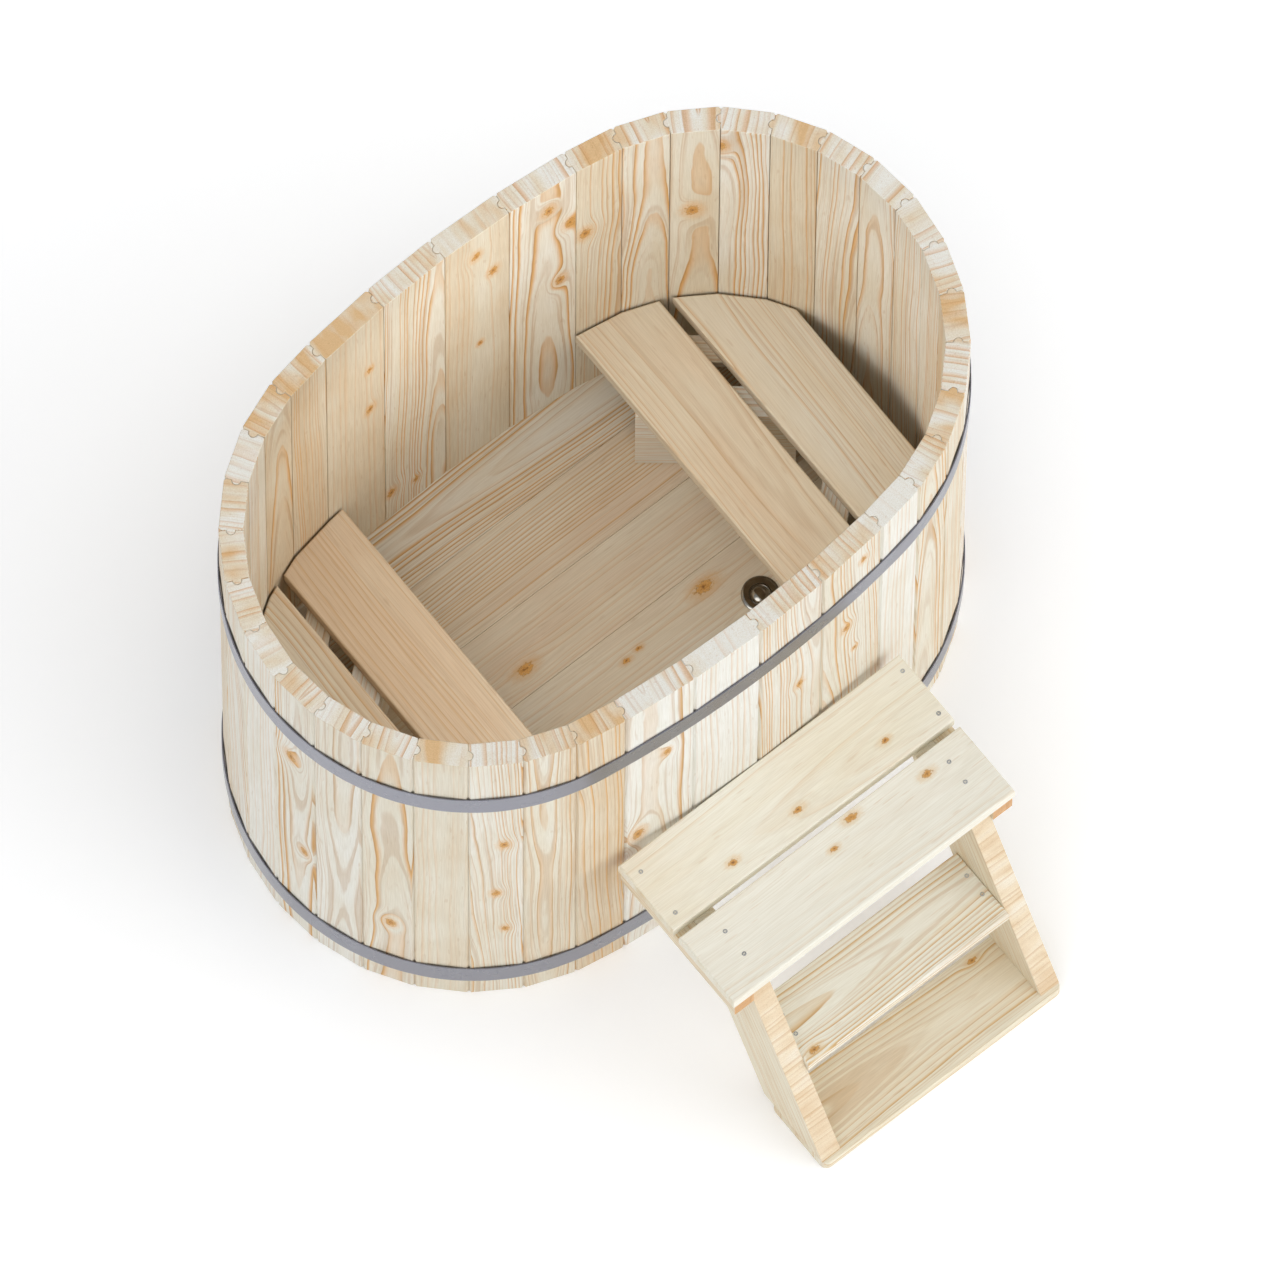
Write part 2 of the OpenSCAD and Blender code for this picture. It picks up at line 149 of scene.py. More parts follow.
class Piece:
    """A mesh being made up from boards or metal parts, which becomes one Blender object."""

    def __init__(self, name):
        self.name, self.points, self.faces, self.kinds, self.marks = name, [], [], [], []

    def add(self, points, faces, timber=None, kind=0):
        """Adds one closed shape. A board's faces across its ends take the second finish."""
        start = len(self.points)
        self.points += [Vector(p) for p in points]
        self.marks += [timber.marks(Vector(p)) if timber else None for p in points]
        for f in faces:
            self.faces.append([start + i for i in f])
            if timber:
                corners = [self.points[start + i] for i in f]
                normal = sum((corners[i - 1].cross(c) for i, c in enumerate(corners)), Vector((0, 0, 0)))
                kind = 1 if abs(normal.normalized().dot(timber.ends)) > END_FACING else 0
            self.kinds.append(kind)

    def finish(self, finishes, body, slot, nodes, soften=35):
        """Makes the object, with soft shading over every turn of less than soften degrees."""
        mesh = bpy.data.meshes.new(self.name)
        mesh.from_pydata(self.points, [], self.faces)
        for f in finishes:
            mesh.materials.append(f)
        mesh.polygons.foreach_set("material_index", self.kinds)
        mesh.polygons.foreach_set("use_smooth", [True] * len(self.faces))
        mesh.set_sharp_from_angle(angle=math.radians(soften))
        if self.marks and self.marks[0]:
            for i, name in enumerate(MARKS):
                values = mesh.attributes.new(name, "FLOAT_VECTOR", "POINT")
                values.data.foreach_set("vector", [x for m in self.marks for x in m[i]])
        mesh.validate()
        piece = bpy.data.objects.new(self.name, mesh)
        bpy.context.scene.collection.objects.link(piece)
        weigh = piece.modifiers.new("even shading", "WEIGHTED_NORMAL")
        weigh.keep_sharp = True
        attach(piece, body)
        if nodes:
            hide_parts(*nodes)


def tint(code):
    """A colour as a print of it would be picked, turned to linear light by the usual curve."""
    parts = [int(code[i:i + 2], 16) / 255 for i in (1, 3, 5)]
    return [c / 12.92 if c < 0.04045 else ((c + 0.055) / 1.055) ** 2.4 for c in parts] + [1]


class Finish:
    """A material being mixed: short names for the few nodes that it needs."""

    def __init__(self, name, owner=None):
        self.material = owner or bpy.data.materials.new(name)
        self.material.use_nodes = True
        self.tree = self.material.node_tree
        self.shader = self.tree.nodes.get("Principled BSDF") or self.tree.nodes["Background"]

    def put(self, kind, links=(), **settings):
        """One shader node, with its inputs linked or filled in."""
        node = self.tree.nodes.new("ShaderNode" + kind)
        for key, value in settings.items():
            setattr(node, key, value)
        for key, value in dict(links).items():
            if isinstance(value, bpy.types.NodeSocket):
                self.tree.links.new(value, node.inputs[key])
            else:
                node.inputs[key].default_value = value
        return node

    def number(self, work, *values, clamp=False):
        """What one of Blender's sums gives, such as a square root."""
        return self.put("Math", enumerate(values), operation=work, use_clamp=clamp).outputs[0]

    def plus(self, one, other, clamp=False):
        return self.number("ADD", one, other, clamp=clamp)

    def times(self, one, other, clamp=False):
        return self.number("MULTIPLY", one, other, clamp=clamp)

    def vector(self, work, *values):
        node = self.put("VectorMath", enumerate(values), operation=work)
        return node.outputs["Value" if work in ("LENGTH", "DOT_PRODUCT") else "Vector"]

    def scale(self, vector, factors):
        return self.vector("MULTIPLY", vector, factors)

    def parts(self, vector):
        return self.put("SeparateXYZ", {0: vector}).outputs

    def mark(self, name):
        return self.put("Attribute", attribute_name=name).outputs["Vector"]

    def noise(self, vector, scale=1.0, detail=2.0, rough=0.5):
        links = {"Vector": vector, "Scale": scale, "Detail": detail, "Roughness": rough}
        return self.put("TexNoise", links).outputs

    def step(self, value, low, high, to_low=0.0, to_high=1.0, kind="SMOOTHSTEP"):
        """A change from to_low to to_high while the value goes from low to high."""
        links = {0: value, 1: low, 2: high, 3: to_low, 4: to_high}
        return self.put("MapRange", links, interpolation_type=kind).outputs[0]

    def ramp(self, value, *stops):
        node = self.put("ValToRGB", {0: value})
        bands = node.color_ramp.elements
        while len(bands) < len(stops):
            bands.new(0.5)
        for band, (place, colour) in zip(bands, stops):
            band.position, band.color = place, tint(colour)
        return node.outputs[0]

    def blend(self, factor, one, other, how="MIX"):
        node = self.put("Mix", {0: factor, 6: one, 7: other}, data_type="RGBA", blend_type=how)
        return node.outputs[2]

    def use(self, **inputs):
        """Fills in the shader's own inputs and gives the material."""
        for key, value in inputs.items():
            socket = self.shader.inputs[key.replace("_", " ")]
            if isinstance(value, bpy.types.NodeSocket):
                self.tree.links.new(value, socket)
            else:
                socket.default_value = value
        return self.material


def sawn_spruce(name, pale, warm, tan, amber, deep, end=False, crossed=False):
    """Spruce with its year rings in the round, so faces, edges and ends all belong together.

    Pale, warm and tan are the wood between its rings, amber the summer wood and deep its edge. On
    end grain the rings are wide and soft. A crossed finish has its stripes across the board.
    """
    squeeze, spacing, blotch = (0.12, 2.4, 0.55) if end else (1, 1, 0.12)
    amber_share, deep_share, nested_share = (0.62, 0.30, 0.16) if end else (0.95, 0.58, 0.32)
    # How fine each mark is, in waves to the metre across, below and along the heart.
    slow, quick, knotty = (5, 5, 1.6), (30, 30, 7), (200, 200, 130)
    streaky, patchy = (16, 16, 0.7), (26, 7, 5) if end else (9, 9, 5)
    fibrous, flecked, porous = (560, 560, 14), (210, 210, 24), (700, 700, 2)
    f = Finish(name)
    log, (ring, tone, figure) = f.mark("log"), f.parts(f.mark("sawing"))
    if crossed:
        log = f.put("CombineXYZ", dict(zip((2, 1, 0), f.parts(log)))).outputs[0]

    # The log is never quite straight: a slow bend and a quick one move its rings.
    slow_bend, quick_bend, halfway = (0.026, 0.026, 0), (0.0026, 0.0026, 0), (0.5, 0.5, 0.5)
    wander = f.vector("SUBTRACT", f.noise(f.scale(log, slow), detail=1)[1], halfway)
    waver = f.vector("SUBTRACT", f.noise(f.scale(log, quick), detail=2)[1], halfway)
    bent = f.vector("ADD", log, f.scale(wander, slow_bend))
    bent = f.vector("ADD", bent, f.scale(waver, quick_bend))
    u, v, w = f.parts(f.scale(bent, (1, squeeze, 1)))

    # Rings swerve round each knot. Far is the distance from the nearest knot, in knot sizes.
    long_knot, swerve_reach, swerve, rise, raggedness = 0.28, -0.13, 0.7, 1.1, 2.3
    ragged = f.number("SUBTRACT", f.noise(f.scale(log, knotty), detail=3, rough=0.75)[0], 0.5)
    ragged = f.times(ragged, raggedness)
    from_knot = None
    for knot in MARKS[2:]:
        x, y, size = f.parts(f.mark(knot))
        far = f.plus(f.times(x, x), f.times(f.times(y, y), long_knot))
        far = f.number("DIVIDE", f.number("SQRT", far), size)
        near = f.number("EXPONENT", f.times(f.times(far, far), swerve_reach))
        u = f.number("SUBTRACT", u, f.times(f.times(x, swerve), near))
        v = f.plus(v, f.times(f.times(size, rise), near))
        far = f.plus(far, ragged)
        from_knot = far if from_knot is None else f.number("MINIMUM", from_knot, far)

    # A year is pale spring wood that darkens to amber summer wood and ends at a thin deep line.
    # Some years are stronger, and all are paler where the saw ran along a ring.
    unevenness, drift_scale, nested_scale, spread = 2.6, 22.0, 330.0, 7.0
    reach = f.number("SQRT", f.plus(f.times(u, u), f.times(v, v)))
    drift = f.put("CombineXYZ", {0: f.times(reach, drift_scale), 1: w}).outputs[0]
    years = f.number("DIVIDE", reach, f.times(ring, spacing))
    years = f.plus(years, f.times(f.noise(drift, detail=1)[0], unevenness))
    season = f.number("FRACT", years)
    board = f.times(f.number("ROUND", f.times(ring, 1e5)), spread)
    count = f.plus(f.number("FLOOR", years), board)
    strength = f.put("TexWhiteNoise", {"W": count}, noise_dimensions="1D").outputs[0]
    grazing = f.step(f.number("DIVIDE", f.number("ABSOLUTE", u), reach), 0.04, 0.40)
    summer = f.times(f.step(season, 0.35, 0.9), f.step(season, 1.0, 0.93))
    summer = f.times(summer, f.step(grazing, 0, 1, 0.40, 1.0))
    summer = f.times(summer, f.times(f.step(strength, 0.2, 0.85, 0.08, 1.1), figure), clamp=True)
    winter = f.times(f.step(season, 0.80, 0.91), f.step(season, 0.99, 0.94))
    winter = f.times(winter, f.step(grazing, 0, 1, 0.12, 1.0))
    winter = f.times(winter, f.times(f.step(strength, 0.0, 0.7, 0.3, 0.9), figure), clamp=True)
    nested = f.put("CombineXYZ", {0: f.times(reach, nested_scale), 1: f.times(w, 1.4)}).outputs[0]
    nested = f.times(f.step(f.noise(nested, detail=1)[0], 0.54, 0.66), f.times(figure, nested_share))

    # Streaks and patches shade the wood between the rings.
    streak = f.noise(f.scale(bent, streaky), detail=3)[0]
    patch = f.noise(f.scale(bent, patchy), detail=2)[0]
    shade = f.plus(tone, f.step(streak, 0.25, 0.75, -0.26, 0.26, "LINEAR"))
    shade = f.plus(shade, f.step(patch, 0.3, 0.7, -blotch, blotch, "LINEAR"), clamp=True)
    colour = f.ramp(shade, (0, pale), (0.5, warm), (1, tan))
    colour = f.blend(f.times(summer, amber_share), colour, tint(amber))
    colour = f.blend(f.times(winter, deep_share), colour, tint(deep))
    colour = f.blend(nested, colour, tint(deep))
    fibre = f.noise(f.scale(bent, fibrous), detail=2)[0]
    colour = f.blend(1.0, colour, f.ramp(fibre, (0.3, "#F3F1ED"), (0.7, "#FFFFFF")), "MULTIPLY")
    fleck = f.noise(f.scale(bent, flecked), detail=0)[0]
    colour = f.blend(f.step(fleck, 0.72, 0.82, 0, 0.18), colour, tint(deep))

    # A knot is brown heartwood inside a dark bark ring, in a halo of resin.
    colour = f.blend(f.step(from_knot, 3.0, 0.8, 0, 0.55), colour, tint(amber))
    heartwood = f.ramp(f.times(from_knot, 0.8), (0.0, "#8A5A2C"), (0.22, "#C08843"), (0.7, "#DDAA60"))
    colour = f.blend(f.step(from_knot, 1.25, 0.75, 0, 0.92), colour, heartwood)
    bark = f.step(f.number("ABSOLUTE", f.number("SUBTRACT", from_knot, 0.95)), 0.14, 0.04, 0, 0.4)
    colour = f.blend(bark, colour, tint("#6B3C1C"))
    if end:
        pores = f.noise(f.scale(bent, porous), detail=1)[0]
        colour = f.blend(1.0, colour, f.ramp(pores, (0.3, "#F6F2EA"), (0.65, "#FFFFFF")), "MULTIPLY")
    grain = f.plus(f.times(winter, 0.6), f.times(fibre, 0.5))
    bump = f.put("Bump", {"Strength": 0.35, "Distance": 0.0004, "Height": grain}).outputs[0]
    return f.use(Base_Color=colour, Roughness=0.62, Specular_IOR_Level=0.25, Normal=bump)


STAVE_COLOURS = ("#F0EFE8", "#E6DFCD", "#DDC9AB", "#DFAC69", "#B78A52")
stave_face = sawn_spruce("planed_stave", *STAVE_COLOURS)
RIM_COLOURS = ("#FCFCF8", "#F5EBD8", "#EDC99A", "#E9B680", "#C08C54")
stave_end = sawn_spruce("stave_end_grain", *RIM_COLOURS, end=True)


def stave_outline(k, inner):
    """Plan of a stave, anticlockwise from its outer face. The inner face lies at this depth."""
    run = going(runs[k])
    ahead, behind = mitre(k + 1, 0), mitre(k, 0)
    close = 0.00015
    corner, slip = 0.0011, 0.0036
    turns = 8
    mid_ahead, mid_behind = mitre(k + 1, THICK / 2), mitre(k, THICK / 2)
    lean_ahead = math.degrees(math.atan2(*reversed(mitre(k + 1, THICK) - ahead)))
    lean_behind = math.degrees(math.atan2(*reversed(mitre(k, THICK) - behind)))
    return (
        [behind + run * NOTCH, ahead - run * NOTCH, mitre(k + 1, NOTCH) - run * close]
        + arc(mid_ahead, BEAD, lean_ahead - 180, lean_ahead, turns)
        + [mitre(k + 1, inner - slip) - run * close, mitre(k + 1, inner) - run * corner,
           mitre(k, inner) + run * corner, mitre(k, inner - slip) + run * close]
        + arc(mid_behind, COVE, lean_behind, lean_behind - 180, turns)
        + [mitre(k, NOTCH) + run * close]
    )


def stave(piece, k, timber):
    """A board with rounded rim edges and the croze cut across its inner face."""
    full, cut = stave_outline(k, THICK), stave_outline(k, THICK - CROZE_DEEP)
    count = len(full)
    inner_side = [i for i in range(count - 1) if full[i] != cut[i] and full[i + 1] != cut[i + 1]]
    soft = 0.0016
    levels = [(0.0, drawn_in(full, soft)), (soft, full), (CROZE_LOW, full)]
    levels += [(CROZE_LOW, cut), (CROZE_HIGH, cut), (CROZE_HIGH, full)]
    for degrees in (0, 30, 60, 90):
        turn = going(degrees)
        levels.append((TALL - soft * (1 - turn.y), drawn_in(full, soft * (1 - turn.x))))
    points, faces = [], []
    for z, outline in levels:
        points += [(p.x, p.y, z) for p in outline]
    for level in range(len(levels) - 1):
        base = level * count
        for i in range(count):
            j = (i + 1) % count
            ledge = levels[level][0] == levels[level + 1][0]
            if not ledge or i in inner_side:
                faces.append([base + i, base + j, base + count + j, base + count + i])
    faces.append(list(range(count))[::-1])
    faces.append([(len(levels) - 1) * count + i for i in range(count)])
    piece.add(points, faces, timber)


STAVE_CORE_SHARE = 1 / 1.4


def in_metres(knots, share):
    """Knots given in millimetres. The dark core takes this share of a knot's size."""
    return [(across / 1000, along / 1000, size / 1000 * share) for across, along, size in knots]


# How a board was cut from its log: how far the heart lies aside and below, how it leans along
# the board, the width of a year, and how strongly the years show.
LOOKS = {
    "pin": ((0.24, 0.06), (0.01, 0.0), 0.0066, 0.72),
    "half": ((0.055, 0.050), (0.02, -0.012), 0.0050, 0.9),
    "arch": ((0.010, 0.052), (0.0, 0.019), 0.0056, 1.0),
    "loop": ((-0.012, 0.066), (0.0, 0.012), 0.0066, 1.0),
    "plain": ((0.30, 0.12), (0.0, 0.0), 0.0095, 0.28),
}
# Each stave: tone from white (0) through cream to tan (1), its cut, and its knots as distance
# to the right of its middle, height and size, in millimetres.
BOARDS = [
    (0.24, "half", [(20, 760, 9), (-18, 980, 5)]),
    (0.32, "half", [(-12, 840, 10), (26, 1120, 8), (10, 700, 6)]),
    (0.10, "plain", []),
    (0.46, "arch", []),
    (0.50, "pin", []),
    (0.10, "half", []),
    (0.75, "pin", []),
    (0.20, "half", []),
    (0.22, "pin", []),
    (0.30, "arch", []),
    (0.34, "half", []),
    (0.65, "pin", []),
    (0.10, "half", [(44, 1110, 14)]),
    (0.44, "loop", [(4, 800, 15)]),
    (0.36, "arch", []),
    (0.58, "half", [(28, 860, 14)]),
    (0.25, "loop", [(-12, 1080, 13), (-56, 960, 13), (-36, 700, 12)]),
    (0.60, "plain", [(2, 1090, 11), (-34, 960, 11), (-6, 640, 7)]),
    (0.36, "half", [(56, 220, 11), (0, 190, 7)]),
    (0.72, "plain", [(-34, 940, 8), (-34, 740, 10)]),
    (0.75, "pin", []),
    (0.80, "arch", []),
    (0.25, "pin", []),
    (0.40, "half", []),
    (0.35, "pin", []),
    (0.24, "half", []),
    (0.14, "plain", []),
    (0.18, "arch", [(-8, 860, 13), (22, 420, 10)]),
    (0.26, "loop", []),
    (0.36, "loop", [(4, 300, 11)]),
    (0.60, "plain", []),
    (0.30, "half", [(14, 770, 10), (0, 520, 9), (16, 330, 8)]),
    (0.60, "arch", []),
    (0.85, "half", []),
    (0.02, "loop", [(-44, 560, 14), (14, 900, 9)]),
    (0.00, "plain", []),
]
for pair in range(STAVES // 2):
    node = f"staves_{pair + 1:02d}"
    piece = Piece(node + "_boards")
    for k in (pair, pair + STAVES // 2):
        tone, look, knots = BOARDS[k]
        (aside, deep), lean, ring, figure = LOOKS[look]
        chance = random.Random(k)
        hand = chance.choice((-1, 1))
        shows_inside = 5 <= k <= 23
        middle = (mitre(k, 0) + mitre(k + 1, 0)) / 2
        across = going(runs[k])
        heart = (aside * hand * chance.uniform(0.8, 1.2), deep * chance.uniform(0.85, 1.25))
        if shows_inside:
            heart = (heart[0], THICK - heart[1])
        lean = (lean[0] * chance.uniform(-1, 1), lean[1] * chance.choice((-1, 1)) * chance.uniform(0.7, 1.3))
        timber = Timber(
            (middle.x, middle.y, 0), (0, 0, 1), (across.x, across.y, 0), heart, lean,
            ring * chance.uniform(0.85, 1.2), tone, figure,
            in_metres(knots, STAVE_CORE_SHARE), k,
        )
        stave(piece, k, timber)
    piece.finish([stave_face, stave_end], "tub", "stave_wood", [node])

# Floor
# Six boards run along the tub, tongue into groove, with their ends cut to the oval. They stand
# in the croze. Their colours are a darker, browner copy of the staves' spruce: painted shade, as
# little light falls on them.

FLOOR_TOP, FLOOR_THICK, FLOOR_JOINT, CROZE_ROOM = 0.100, 0.038, 0.0004, 0.001


def tub_outline(depth):
    """The oval through the stave joints, this far in from the outer faces."""
    return [mitre(k, depth) for k in range(STAVES)]


def trimmed(whole, *lines):
    """The part of an outline inside some lines, each given by a point and a direction outward.

    A corner of the whole outline that would lie a few millimetres from a cut is planed away.
    """
    outline = whole
    for at, out in lines:
        at, out = Vector(at), Vector(out)
        kept = []
        for i, p in enumerate(outline):
            q = outline[i - 1]
            a, b = (q - at).dot(out), (p - at).dot(out)
            if (a < 0) != (b < 0):
                kept.append(q + (p - q) * (a / (a - b)))
            if b < 0:
                kept.append(p)
        outline = kept
    closest = 0.005
    return [p for i, p in enumerate(outline) if p not in whole
            or min((p - outline[i - 1]).length, (p - outline[(i + 1) % len(outline)]).length) > closest]


def joined(piece, rings, closed=False, kind=0, timber=None):
    """A skin over rings of points, with its two ends filled unless it closes on itself."""
    count = len(rings[0])
    points = [p for ring in rings for p in ring]
    faces = []
    for n in range(len(rings) if closed else len(rings) - 1):
        here, there = n * count, (n + 1) % len(rings) * count
        for i in range(count):
            j = (i + 1) % count
            faces.append([here + i, here + j, there + j, there + i])
    if not closed:
        faces += [list(range(count))[::-1], [(len(rings) - 1) * count + i for i in range(count)]]
    piece.add(points, faces, timber, kind)


def slab(piece, outline, low, high, soft, timber, place=None, steps=3):
    """A board of any outline, with all its edges rounded to the same radius."""
    place = place or Matrix.Identity(4)
    turns = [going(90 * i / steps) for i in range(steps + 1)]
    levels = [(low + soft * (1 - turn.x), drawn_in(outline, soft * (1 - turn.y))) for turn in turns]
    levels += [(high - (z - low), flat) for z, flat in reversed(levels)]
    rings = [[place @ Vector((p.x, p.y, z)) for p in flat] for z, flat in levels]
    joined(piece, rings, timber=timber)


# The floor's palette holds painted shade: the staves' spruce painted darker and browner.
FLOOR_WOOD_AND_PAINTED_SHADE_COLOURS = ("#E2DFD6", "#DED4C1", "#DAC4AD", "#D2A56A", "#A98557")
floor_face = sawn_spruce("floor_board", *FLOOR_WOOD_AND_PAINTED_SHADE_COLOURS)
floor_end = sawn_spruce("floor_end_grain", *FLOOR_WOOD_AND_PAINTED_SHADE_COLOURS, end=True)
FLOORING = [
    (0.42, "plain", []),
    (0.34, "plain", []),
    (0.50, "plain", [(38, 219, 14), (15, 29, 6), (20, 60, 5)]),
    (0.66, "plain", [(-29, -118, 12)]),
    (0.60, "pin", []),
    (0.30, "arch", []),
]
BOARD_CORE_SHARE = 1 / 1.5
floor_edge = THICK - CROZE_DEEP + CROZE_ROOM
floor_front = floor_edge - HALF_WIDTH
floor_wide = -2 * floor_front / len(FLOORING)
for i, (tone, look, knots) in enumerate(FLOORING):
    near, far = floor_front + i * floor_wide, floor_front + (i + 1) * floor_wide
    outline = trimmed(tub_outline(floor_edge), ((0, near + FLOOR_JOINT / 2), (0, -1)),
                      ((0, far - FLOOR_JOINT / 2), (0, 1)))
    (aside, deep), lean, ring, figure = LOOKS[look]
    timber = Timber((0, (near + far) / 2, FLOOR_TOP), (1, 0, 0), (0, 1, 0), (aside, -deep), lean, ring,
                    tone, figure, in_metres(knots, BOARD_CORE_SHARE), 40 + i)
    piece = Piece(f"floor_plank_{i + 1}")
    slab(piece, outline, FLOOR_TOP - FLOOR_THICK, FLOOR_TOP, 0.0008, timber, steps=1)
    piece.finish([floor_face, floor_end], "tub", "floor_wood", [f"floor_board_{i + 1}"])

# Bearers
# Three rough beams cross under the floor and carry it. They stand on the ground between the
# staves' feet, with their ends cut to the wall.

BEARER_APART, BEARER_WIDE, BEARER_CLEAR, SAWN = 0.410, 0.070, 0.010, 0.002
BEAM_COLOURS = ("#E4DFD0", "#E0D4BC", "#DAC5A6", "#D0AE82", "#B48E60")
beam_face = sawn_spruce("sawn_beam", *BEAM_COLOURS)
beam_end = sawn_spruce("beam_end_grain", *BEAM_COLOURS, end=True)
for i, name in enumerate(("left", "middle", "right")):
    x = (i - 1) * BEARER_APART
    outline = trimmed(tub_outline(THICK + BEARER_CLEAR), ((x - BEARER_WIDE / 2, 0), (-1, 0)),
                      ((x + BEARER_WIDE / 2, 0), (1, 0)))
    timber = Timber((x, 0, CROZE_LOW), (0, 1, 0), (1, 0, 0), (0.02, 0.05), (0.01, 0.02), 0.006,
                    0.5, 0.6, (), 50 + i)
    piece = Piece(f"under_beam_{name}")
    slab(piece, outline, 0, CROZE_LOW, SAWN, timber)
    piece.finish([beam_face, beam_end], "tub", "beam_wood", [f"bearer_{name}"])

# Hoops
# Two flat steel bands go round the staves. They bend a little at every joint, over the bevels,
# and end in welded lugs at the middle of the far side, where a bolt draws them tight.

HOOP_TALL, HOOP_THICK, SPLIT = 0.062, 0.003, 0.024
UPPER_TOP, LOWER_TOP = 1.025, 0.133
LUG_THICK, LUG_REACH, LUG_ROUND, LUG_WELDED_IN = 0.006, 0.030, 0.008, 0.0008
BEAD_SIZE, BEAD_STEPS, BEAD_SIDES, BEAD_SHORT = 0.0024, 40, 12, 0.006


def rounded(width, height, radius, steps=3):
    """A rectangle round the origin with round corners, anticlockwise."""
    a, b = width / 2 - radius, height / 2 - radius
    corners = ((a, b, 0), (-a, b, 90), (-a, -b, 180), (a, -b, 270))
    return [p for x, y, turn in corners for p in arc(Vector((x, y)), radius, turn, turn + 90, steps)]


def band_path(steps=8):
    """Plan of a band's inner line: points and outward directions from one end to the other."""
    path = []
    for k in range(STAVES // 2, STAVES // 2 + STAVES):
        run = going(runs[k % STAVES])
        opens, closes = k == STAVES // 2, k == STAVES // 2 + STAVES - 1
        first = mitre(k, 0) + run * (SPLIT / 2 if opens else NOTCH)
        last = mitre(k + 1, 0) - run * (SPLIT / 2 if closes else NOTCH)
        rise = 0 if opens else math.tan(math.radians(turn_at(k) / 2))
        fall = 0 if closes else math.tan(math.radians(turn_at(k + 1) / 2))
        long = (last - first).length
        for i in range(steps + 1):
            t = i / steps
            bow = t * (1 - t) * ((1 - t) * rise + t * fall)
            slope = rise * (1 - t) * (1 - 3 * t) + fall * t * (2 - 3 * t)
            ahead = (run - left_of(run) * slope).normalized()
            spot = first + run * long * t - left_of(run) * long * bow
            path.append((spot, Vector((ahead.y, -ahead.x))))
    return path


def steel(name, colour, rough, brushed, along=(1, 1, 60)):
    """Rolled steel: a dark grey sheen with fine rolling lines and faint smudges."""
    f = Finish(name)
    place = f.put("TexCoord").outputs["Object"]
    lines = f.noise(f.scale(place, along), scale=brushed, detail=3)[0]
    smudge = f.noise(place, scale=9, detail=4, rough=0.6)[0]
    shade = f.plus(f.times(lines, 0.35), f.times(smudge, 0.65))
    dark, light = colour
    return f.use(
        Base_Color=f.ramp(shade, (0.3, dark), (0.7, light)), Metallic=1.0,
        Roughness=f.step(smudge, 0.3, 0.7, rough * 0.8, rough * 1.25),
        Normal=f.put("Bump", {"Strength": 0.08, "Distance": 0.0003, "Height": lines}).outputs[0],
    )


hoop_steel = steel("hoop_steel", ("#7C7D88", "#8C8D98"), 0.26, 22)
zinc = steel("zinc_plate", ("#A8ABB0", "#C9CCD0"), 0.34, 60, (1, 1, 1))
weld = steel("weld_metal", ("#5A5658", "#8C8A8E"), 0.5, 300, (1, 1, 1))


def on_edge(y, z):
    """Stands a plan on edge beside this y and z, so that its heights run along X."""
    return Matrix(((0, 0, 1, 0), (1, 0, 0, y), (0, 1, 0, z), (0, 0, 0, 1)))


def turned(piece, profile, place, closed=False, hexagon=None, steps=48):
    """A profile of radius and height spun round an axis. A hexagon's flats limit the radius."""
    rings = []
    for r, h in profile:
        ring = []
        for i in range(steps):
            angle = 360 * i / steps
            limit = hexagon / math.cos(math.radians((angle + 30) % 60 - 30)) if hexagon else r
            turn = going(angle) * min(r, limit)
            ring.append(place @ Vector((turn.x, turn.y, h)))
        rings.append(ring)
    joined(piece, rings, closed)


def flat_ring(inner, outer, low, high, soft=0.0004):
    """Radius and height round the section of a washer or seal, with soft outer edges."""
    return [(inner, low), (outer - soft, low), (outer, low + soft), (outer, high - soft),
            (outer - soft, high), (inner, high)]


def threaded(radius, low, high, pitch):
    """Radius and height along a screw thread."""
    turns, deep = round((high - low) / pitch), 0.35 * pitch
    rise = (high - low) / (2 * turns)
    return [(radius - (deep if i % 2 else 0), low + rise * i) for i in range(2 * turns + 1)]


face = HALF_WIDTH + HOOP_THICK
tall = HOOP_TALL - 2 * LUG_THICK
low_bend = Vector((LUG_REACH - LUG_ROUND, LUG_ROUND - tall / 2))
high_bend = Vector((LUG_REACH - LUG_ROUND, tall / 2 - LUG_ROUND))
lug = [Vector((-LUG_WELDED_IN, -tall / 2))] + arc(low_bend, LUG_ROUND, -90, 0, 4)
lug += arc(high_bend, LUG_ROUND, 0, 90, 4) + [Vector((-LUG_WELDED_IN, tall / 2))]
outside = SPLIT / 2 + LUG_THICK
flat, edge, tip, washer_thick, washer_room = 0.0082, 0.0094, 0.0078, 0.0014, 0.0016
head_low = -outside - washer_room
head = [(tip, head_low - 0.0062), (0.0088, head_low - 0.0058), (edge, head_low - 0.0046), (edge, head_low)]
shank = threaded(0.005, -outside - 0.001, outside + 0.0145, 0.0015)
nut = [(tip, outside + washer_thick), (edge, outside + 0.0022), (edge, outside + 0.0072),
       (tip, outside + 0.0080)]
